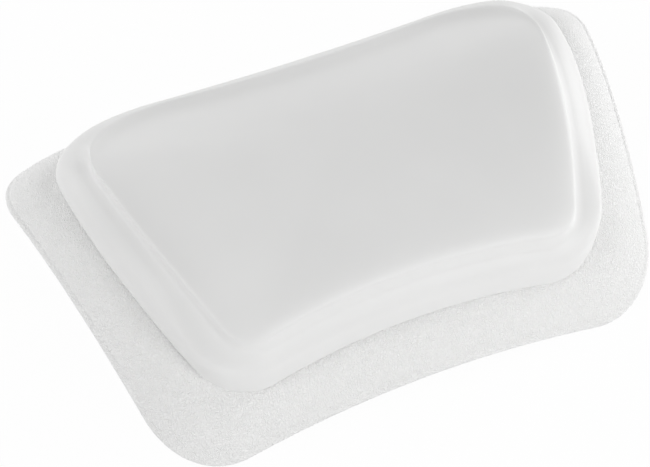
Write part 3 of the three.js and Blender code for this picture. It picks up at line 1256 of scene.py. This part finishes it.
def bore_seats(piece: bpy.types.Object, profile: Profile, finish: Finish, sharp: float,
               steps: int = 72) -> None:
    """Cuts a turned space from a piece at each seat.

    Args:
        piece: the piece.
        profile: the space's profile, from the top down.
        finish: the finish of the cut faces.
        sharp: the angle in degrees above which the piece's edges stay sharp.
        steps: the steps of the space's turn.
    """
    tree = GeometryTree("turned", {"Rows": COUNT, "Steps": COUNT, "Finish": FINISH})
    tree.finish(revolved(tree))
    points = turned_points(profile)
    values = {"Rows": len(points), "Steps": steps, "Finish": finish.material()}
    spaces = []
    for seat in Seat:
        space = tree.build(f"space_{seat.value}", points, values)
        space.data.transform(seat_matrix(seat))
        spaces.append(space)
    combine(piece, spaces, "DIFFERENCE")
    piece.data.set_sharp_from_angle(angle=math.radians(sharp))


def combine(piece: bpy.types.Object, others: Sequence[bpy.types.Object], operation: str) -> None:
    """Joins other bodies to a piece or cuts them from it, and removes them.

    Args:
        piece: the piece.
        others: the other bodies.
        operation: UNION or DIFFERENCE.
    """
    for other in others:
        modifier = piece.modifiers.new(other.name, "BOOLEAN")
        modifier.operation = operation
        modifier.solver = "MANIFOLD"
        modifier.object = other
    graph = bpy.context.evaluated_depsgraph_get()
    graph.update()
    mesh = bpy.data.meshes.new_from_object(piece.evaluated_get(graph))
    piece.modifiers.clear()
    piece.data = mesh
    for other in others:
        bpy.data.objects.remove(other)


@dataclass
class Cover:
    """A skin of the pillow, lofted over the arch."""

    form: PillowForm
    tree: GeometryTree

    def loft(self, name: str, rows: Sequence[np.ndarray], finish: Finish,
             sharp: float | None = None) -> bpy.types.Object:
        """Joins rows of points into a closed skin.

        Args:
            name: the piece's name.
            rows: the rows, each with its points and their heights over the arch.
            finish: the skin's finish.
            sharp: the angle in degrees above which an edge stays sharp, or None for none.

        Returns:
            The piece.
        """
        centre, tip = self.form.standing()
        return self.tree.build(name, np.vstack(rows) * MM, {
            "Rows": len(rows),
            "Columns": self.form.steps.round_trip,
            "Arch Radius": self.form.arch_radius * MM,
            "Arch Centre": centre,
            "Tip": tip,
            "Finish": finish.material(),
        }, sharp)

    @staticmethod
    def fill_rows(edge: np.ndarray, count: int = 10) -> list[np.ndarray]:
        """Returns rows that draw in from an edge row to the middle, at the edge's height."""
        shares = np.linspace(1, 0, count + 1)[1:]
        return [np.column_stack([edge[:, :2] * share, edge[:, 2]]) for share in shares]


@dataclass
class SkirtCover(Cover):
    """The grained outer skin, from the turned-under rim to the window below the pad."""

    brim: tuple[tuple[float, float], ...] = (
        (0, 0), (0.08, 0.2), (0.2, 0.43), (0.4, 0.75), (0.6, 0.94), (0.8, 1), (1, 1),
    )
    brim_steps: int = 8
    rim_steps: int = 12
    sharp: float = 50.0

    def brim_rows(self, depth: float) -> list[np.ndarray]:
        """Draws the upper surface from rim to foot.

        Args:
            depth: how far the rows lie under the outside.

        Returns:
            The rows.
        """
        form = self.form
        top = form.rim.inset(form.rim_thickness / 2)
        rows = []
        for in_share, rise_share in smooth_rows(self.brim, self.brim_steps):
            height = form.rim_thickness + (form.foot_height - form.rim_thickness) * rise_share
            outline = top.mixed(form.foot, in_share).inset(depth / 2)
            rows.append(form.flat_row(outline, height - depth))
        return rows

    def build(self) -> bpy.types.Object:
        """Builds and dresses the cover.

        Returns:
            The piece.
        """
        form = self.form
        half = form.rim_thickness / 2
        under = form.rim.inset(form.turn_under)
        inside = form.rim.inset(form.rim_inset)
        window = form.foot.inset(form.ledge)
        rim = []
        for step in range(self.rim_steps + 1):
            angle = math.pi * (step / self.rim_steps - 0.5)
            outline = form.rim.inset(half * (1 - math.cos(angle)))
            rim.append(form.flat_row(outline, half * (1 + math.sin(angle))))
        rows = [
            form.flat_row(under, 0), *rim, *self.brim_rows(0)[1:],
            form.flat_row(window, form.foot_height),
            form.flat_row(window, form.foot_height - form.skin),
            *self.brim_rows(form.skin)[::-1],
            form.flat_row(inside, form.rim_thickness - form.skin), form.flat_row(inside, form.skin),
            form.flat_row(under, form.skin), form.flat_row(under, 0),
        ]
        piece = self.loft("skirt_skin", rows, GrainedSkin(), self.sharp)
        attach(piece, "pillow")
        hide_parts("skirt_cover")
        return piece


@dataclass
class PadCover(Cover):
    """The smooth outer skin of the head pad: belly, cove, lip and dished face."""

    shares: dict[Wall, tuple[tuple[float, float, float], ...]] = field(default_factory=lambda: {
        Wall.FRONT: (
            (-0.4, 0, 0), (0.55, 0, 0.03), (0.9, 0, 0.08), (1, 0, 0.19), (1, 0, 0.45),
            (0.97, 0, 0.54), (0.83, 0, 0.6), (0.5, 0, 0.66), (0.2, 0.1, 0.695), (0, 0.33, 0.72),
            (0, 0.66, 0.742), (0, 0.85, 0.775), (0, 0.93, 0.83), (0, 0.96, 0.9), (0, 1, 1),
        ),
        Wall.SIDE: (
            (-0.4, 0, 0), (0.55, 0, 0.03), (0.9, 0, 0.08), (1, 0, 0.19), (0.98, 0, 0.3),
            (0.9, 0.03, 0.4), (0.74, 0.08, 0.49), (0.5, 0.17, 0.58), (0.22, 0.33, 0.66),
            (0.05, 0.52, 0.715), (0, 0.72, 0.75), (0, 0.88, 0.785), (0, 0.96, 0.84),
            (0, 0.985, 0.91), (0, 1, 1),
        ),
        Wall.BACK: (
            (-0.4, 0, 0), (0.55, 0, 0.03), (0.9, 0, 0.08), (1, 0, 0.19), (0.98, 0.01, 0.29),
            (0.9, 0.03, 0.38), (0.75, 0.06, 0.47), (0.54, 0.11, 0.57), (0.33, 0.18, 0.67),
            (0.15, 0.27, 0.76), (0.04, 0.38, 0.84), (0, 0.52, 0.905), (0, 0.68, 0.95),
            (0, 0.85, 0.98), (0, 1, 1),
        ),
    })

    wall_steps: int = 5
    lip_band: float = 0.9
    band_rows: int = 12
    inner_rows: int = 34
    puff_power: int = 3
    puff_edge: int = 16
    trough_edge: int = 24
    back_part: float = 0.55
    sharp: float = 60.0

    def wall_rows(self, depth: float, foot: float) -> list[np.ndarray]:
        """Draws the wall from foot to lip.

        Args:
            depth: how far the rows lie under the outside.
            foot: the height of the lowest row.

        Returns:
            The rows.
        """
        form = self.form
        weights = form.wall_weights(self.wall_place((0, 1, 1), depth)[:, 1])
        tables = [smooth_rows(self.shares[wall], self.wall_steps) for wall in Wall]
        rows = []
        for step in zip(*tables):
            parts = [(weights[wall], row) for wall, row in zip(Wall, step)]
            place = sum(part[:, None] * self.wall_place(row, depth) for part, row in parts)
            share = sum(part * row[2] for part, row in parts)
            height = foot + (form.rise_at(place[:, 1]) + form.foot_height - foot - depth) * share
            rows.append(np.column_stack([place, height]))
        return rows

    def wall_place(self, row: Sequence[float], depth: float) -> np.ndarray:
        """Draws a row of the wall from above.

        Args:
            row: the row's shares of the belly, of the way from foot to lip, and of the rise.
            depth: how far the row lies under the outside.

        Returns:
            The row's points.
        """
        form = self.form
        outline = form.foot.mixed(form.lip, row[1])
        return form.outline_points(outline.inset(depth - form.belly_bulge * row[0]))

    def face_rows(self, lip: np.ndarray, depth: float) -> list[np.ndarray]:
        """Draws the dished face from the lip to the middle.

        Args:
            lip: the lip's row.
            depth: how far the rows lie under the outside.

        Returns:
            The rows, without the lip's own.
        """
        form = self.form
        softness = form.softness(lip[:, 1])
        back = lip[lip[:, 1] > self.back_part * lip[:, 1].max()]
        back = back[np.argsort(back[:, 0])]
        band = np.linspace(1, self.lip_band, self.band_rows + 1)[1:]
        inner = np.linspace(self.lip_band, 0, self.inner_rows + 1)[1:]
        rows = []
        for share in np.concatenate([band, inner]):
            place = lip[:, :2] * share
            puff = share ** self.puff_power * (1 - share ** self.puff_edge)
            to_back = np.interp(place[:, 0], back[:, 0], back[:, 1]) - place[:, 1]
            off = np.clip(to_back, 0, None) / form.trough_reach
            trough = off * np.exp(1 - off) * (1 - share ** self.trough_edge)
            height = (form.foot_height + form.rise_at(place[:, 1]) - form.dish * (1 - share ** 2)
                      + form.puff * (1 - softness) * puff - form.trough * trough)
            rows.append(np.column_stack([place, height - depth]))
        return rows

    @staticmethod
    def rounded_lip(rows: list[np.ndarray], lip: int, reach: int = 1,
                    passes: int = 2) -> list[np.ndarray]:
        """Rounds the edge between wall and face by evening out the rows beside it.

        Args:
            rows: the rows from foot to middle.
            lip: the number of the lip's row.
            reach: how many rows on either side are evened out.
            passes: how often.

        Returns:
            The rows.
        """
        stack = np.array(rows)
        first, last = lip - reach, lip + reach + 1
        for _ in range(passes):
            before, near, after = (stack[first + k:last + k] for k in (-1, 0, 1))
            stack[first:last] = (before + 2 * near + after) / 4
        return list(stack)

    def build(self) -> bpy.types.Object:
        """Builds and dresses the cover.

        Returns:
            The piece.
        """
        form = self.form
        foot = form.foot_height + form.gap
        outer = self.wall_rows(0, foot)
        inner = self.wall_rows(form.skin, foot)
        rows = [
            *self.face_rows(inner[-1], form.skin)[::-1], *inner[::-1],
            *self.rounded_lip([*outer, *self.face_rows(outer[-1], 0)], len(outer) - 1),
        ]
        piece = self.loft("pad_skin", rows, SatinSkin(), self.sharp)
        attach(piece, "pillow")
        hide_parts("pad_cover")
        return piece


@dataclass
class HeadFoam(Cover):
    """The soft foam under the smooth skin."""

    sharp: float = 40.0

    def build(self) -> bpy.types.Object:
        """Builds and dresses the foam.

        Returns:
            The piece.
        """
        form = self.form
        foot = form.foot_height + form.gap
        depth = form.skin + form.gap
        pad = PadCover(form, self.tree)
        wall = pad.wall_rows(depth, foot)
        bottom = form.flat_row(form.foot.inset(form.ledge + form.gap), foot)
        rows = [*self.fill_rows(bottom)[::-1], bottom, *wall, *pad.face_rows(wall[-1], depth)]
        piece = self.loft("head_foam_core", rows, SoftFoam(), self.sharp)
        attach(piece, "pillow")
        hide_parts("head_foam")
        return piece


@dataclass
class BaseFoam(Cover):
    """The firmer foam under the grained skin, with a pocket for each socket."""

    socket: SocketSizes
    sharp: float = 40.0

    def build(self) -> bpy.types.Object:
        """Builds and dresses the foam.

        Returns:
            The piece.
        """
        form = self.form
        bottom = form.skin + form.gap
        under_ledge = form.foot_height - bottom
        plate = form.flat_row(form.rim.inset(form.turn_under + form.gap), bottom)
        edge = form.rim.inset(form.rim_inset + form.gap)
        plateau = form.foot.inset(form.ledge + form.gap)
        top = form.flat_row(plateau, form.foot_height)
        rows = [
            *self.fill_rows(plate)[::-1], plate, form.flat_row(edge, bottom),
            form.flat_row(edge, form.rim_thickness - bottom),
            *SkirtCover(form, self.tree).brim_rows(bottom)[1:-1],
            form.flat_row(form.foot.inset(bottom), under_ledge),
            form.flat_row(plateau, under_ledge),
            top, *self.fill_rows(top),
        ]
        piece = self.loft("base_foam_core", rows, FirmFoam())
        bore_seats(piece, self.socket.pocket(form.gap), FirmFoam(), self.sharp)
        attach(piece, "pillow")
        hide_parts("base_foam")
        return piece


@dataclass
class BackSkin(Cover):
    """The rear skin, with a flat boss and a hole for each socket."""

    socket: SocketSizes
    boss_rings: int = 8
    drill_reach: float = 6.0
    sharp: float = 35.0

    def boss(self, seat: Seat) -> bpy.types.Object:
        """Builds a seat's boss, flat below and rooted in the arched skin.

        Args:
            seat: the boss's seat.

        Returns:
            The boss as a closed body.
        """
        centre, tip = self.form.standing()
        stand = Matrix.Translation(centre) @ Matrix.Rotation(tip, 4, "X")
        to_arch = stand.inverted() @ seat_matrix(seat)
        radii = np.linspace(0, self.socket.boss_radius, self.boss_rings)
        below = [self.boss_ring(to_arch, radius) for radius in radii]
        root = np.full(self.form.steps.round_trip, self.form.skin / 2)
        above = [np.column_stack([ring[:, :2], root]) for ring in below[::-1]]
        return self.loft(f"boss_{seat.value}", [*below, *above], RearSkin())

    def boss_ring(self, to_arch: Matrix, radius: float) -> np.ndarray:
        """Draws a ring on the boss's flat face, its heights told over the arch.

        Args:
            to_arch: the seat's place seen from the arch.
            radius: the ring's radius.

        Returns:
            The ring's points.
        """
        ring = []
        for turn in np.linspace(0, 2 * math.pi, self.form.steps.round_trip):
            x, y = radius * math.cos(turn), radius * math.sin(turn)
            foot = to_arch @ (Vector((x, y, -self.socket.boss_height)) * MM) / MM
            arch = math.sqrt(self.form.arch_radius ** 2 - foot.y ** 2)
            ring.append((foot.x, foot.y, foot.z - arch))
        return np.array(ring)

    def build(self) -> bpy.types.Object:
        """Builds and dresses the skin.

        Returns:
            The piece.
        """
        form = self.form
        outline = form.rim.inset(form.turn_under + form.gap)
        low, high = form.flat_row(outline, 0), form.flat_row(outline, form.skin)
        rows = [*self.fill_rows(low)[::-1], low, high, *self.fill_rows(high)]
        piece = self.loft("rear_skin", rows, RearSkin())
        combine(piece, [self.boss(seat) for seat in Seat], "UNION")
        hole, reach = self.socket.collar + form.gap, self.drill_reach
        drill = [(0, reach), (hole, reach), (hole, -reach), (0, -reach)]
        bore_seats(piece, drill, RearSkin(), self.sharp)
        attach(piece, "pillow")
        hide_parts("back_skin")
        return piece


@dataclass
class Sockets:
    """The four sockets: a collar, an anchor flange with grip holes, and petals round the neck."""

    sizes: SocketSizes = SocketSizes()
    steps: int = 96
    slot_depth: float = 10.0
    drill_depth: float = 6.0
    overlap: float = 0.3
    sharp: float = 35.0

    def tree(self) -> GeometryTree:
        """Makes the tree that turns a socket and cuts its slots and grip holes.

        Returns:
            The tree.
        """
        tree = GeometryTree("socket", {
            "Rows": COUNT, "Steps": COUNT, "Slot Width": SIZE,
            "Slot Length": SIZE, "Slot Top": SIZE, "Grip Circle": SIZE,
            "Grip Hole": SIZE, "Flange Middle": SIZE, "Finish": FINISH,
        })
        given = tree.inputs
        depth = self.slot_depth * MM
        middle = tree.math("SUBTRACT", given["Slot Top"], depth / 2)
        slot = box(tree, (given["Slot Length"], given["Slot Width"], depth))
        slots = [moved(tree, slot, (0.0, 0.0, middle), turn) for turn in (0, 90)]
        ring = tree.node("GeometryNodeMeshCircle", {"Vertices": 4, "Radius": given["Grip Circle"]})
        holes = tree.node("GeometryNodeInstanceOnPoints", {
            "Points": moved(tree, ring.outputs["Mesh"], (0.0, 0.0, given["Flange Middle"]), 45),
            "Instance": cylinder(tree, given["Grip Hole"], self.drill_depth * MM),
        })
        drilled = tree.node("GeometryNodeRealizeInstances", {"Geometry": holes.outputs[0]})
        tree.finish(together(tree, revolved(tree), [*slots, drilled.outputs[0]], "DIFFERENCE"))
        return tree

    def build(self) -> list[bpy.types.Object]:
        """Builds and dresses the sockets.

        Returns:
            The pieces.
        """
        sizes = self.sizes
        points = turned_points(sizes.body())
        values = {
            "Rows": len(points),
            "Steps": self.steps,
            "Slot Width": sizes.slot_width * MM,
            "Slot Length": (2 * sizes.bore - self.overlap) * MM,
            "Slot Top": (sizes.petal_top + self.overlap) * MM,
            "Grip Circle": sizes.grip_circle * MM,
            "Grip Hole": sizes.grip_hole * MM,
            "Flange Middle": (sizes.flange_bottom + sizes.flange_height / 2) * MM,
            "Finish": SocketPlastic().material(),
        }
        tree = self.tree()
        pieces = []
        for seat in Seat:
            piece = tree.build(f"socket_{seat.value}", points, values, self.sharp)
            piece.data.transform(seat_matrix(seat))
            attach(piece, "pillow")
            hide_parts(f"cup_socket_{seat.value}")
            pieces.append(piece)
        return pieces


@dataclass
class SuctionCups:
    """The four clear suction cups, each with a mushroom head and a ribbed peel tab."""

    sizes: CupSizes = CupSizes()
    socket: SocketSizes = SocketSizes()
    steps: int = 96
    tab_steps: int = 48
    rib_steps: int = 16
    rib_share: float = 0.55
    sharp: float = 40.0

    def tree(self) -> GeometryTree:
        """Makes the tree that turns a cup and joins its tab and the tab's ribs to it.

        Returns:
            The tree.
        """
        tree = GeometryTree("suction_cup", {
            "Rows": COUNT, "Steps": COUNT, "Tab Start": SIZE,
            "Tab Straight": SIZE, "Tab Width": SIZE, "Tab Bottom": SIZE,
            "Tab Thickness": SIZE, "Ribs": COUNT, "Rib Pitch": SIZE,
            "Rib Radius": SIZE, "Finish": FINISH,
        })
        given = tree.inputs
        straight, width = given["Tab Straight"], given["Tab Width"]
        thickness = given["Tab Thickness"]
        level = tree.math("ADD", given["Tab Bottom"], tree.math("MULTIPLY", thickness, 0.5))
        reach = tree.math("SUBTRACT", straight, given["Tab Start"])
        half_way = tree.math("MULTIPLY", tree.math("ADD", straight, given["Tab Start"]), 0.5)
        strip = moved(tree, box(tree, (reach, width, thickness)), (half_way, 0.0, level))
        rounding = cylinder(tree, tree.math("MULTIPLY", width, 0.5), thickness, self.tab_steps)
        end = moved(tree, rounding, (straight, 0.0, level))
        rib_length = tree.math("MULTIPLY", width, self.rib_share)
        rib = tree.node("GeometryNodeTransform", {
            "Geometry": cylinder(tree, given["Rib Radius"], rib_length, self.rib_steps),
            "Rotation": (math.pi / 2, 0.0, 0.0),
        })
        top = tree.math("ADD", given["Tab Bottom"], thickness)
        line = tree.node("GeometryNodeMeshLine", {
            "Count": given["Ribs"],
            "Start Location": tree.vector(straight, 0.0, top),
            "Offset": tree.vector(given["Rib Pitch"]),
        })
        ribs = tree.node("GeometryNodeInstanceOnPoints", {
            "Points": line.outputs[0], "Instance": rib.outputs[0],
        })
        laid = tree.node("GeometryNodeRealizeInstances", {"Geometry": ribs.outputs[0]})
        tree.finish(together(tree, revolved(tree), [strip, end, laid.outputs[0]], "UNION"))
        return tree

    def build(self) -> list[bpy.types.Object]:
        """Builds and dresses the cups.

        Returns:
            The pieces.
        """
        sizes = self.sizes
        points = turned_points(sizes.body(self.socket.petal_height))
        values = {
            "Rows": len(points),
            "Steps": self.steps,
            "Tab Start": sizes.seal_outer * MM,
            "Tab Straight": (sizes.radius + sizes.tab_reach - sizes.tab_width / 2) * MM,
            "Tab Width": sizes.tab_width * MM,
            "Tab Bottom": sizes.lip_edge * MM,
            "Tab Thickness": sizes.tab_thickness * MM,
            "Ribs": sizes.ribs,
            "Rib Pitch": sizes.rib_pitch * MM,
            "Rib Radius": sizes.rib_radius * MM,
            "Finish": ClearVinyl().material(),
        }
        drop = Matrix.Translation((0, 0, -(self.socket.boss_height + sizes.height) * MM))
        tree = self.tree()
        pieces = []
        for seat in Seat:
            piece = tree.build(f"cup_{seat.value}_vinyl", points, values, self.sharp)
            turn = Matrix.Rotation(0 if seat.side > 0 else math.pi, 4, "Z")
            piece.data.transform(seat_matrix(seat) @ drop @ turn)
            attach(piece, f"cup_{seat.value}")
            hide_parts(f"suction_cup_{seat.value}")
            pieces.append(piece)
        return pieces


def main() -> None:
    """Builds the studio and the pieces in order and reports each."""
    logging.basicConfig(level=logging.INFO, format="%(name)s: %(message)s")
    for name in ("Cube", "Light", "Camera"):
        if name in bpy.data.objects:
            bpy.data.objects.remove(bpy.data.objects[name])
    form, socket, cup = PillowForm(), SocketSizes(), CupSizes()
    Studio(form).build()
    tree = loft_tree()
    pieces = [
        SkirtCover(form, tree).build(), PadCover(form, tree).build(), HeadFoam(form, tree).build(),
        BaseFoam(form, tree, socket).build(), BackSkin(form, tree, socket).build(),
        *Sockets(socket).build(), *SuctionCups(cup, socket).build(),
    ]
    for piece in pieces:
        log.info("%s: %d faces", piece.name, len(piece.data.polygons))
    bpy.context.view_layer.update()


if __name__ == "__main__":
    main()
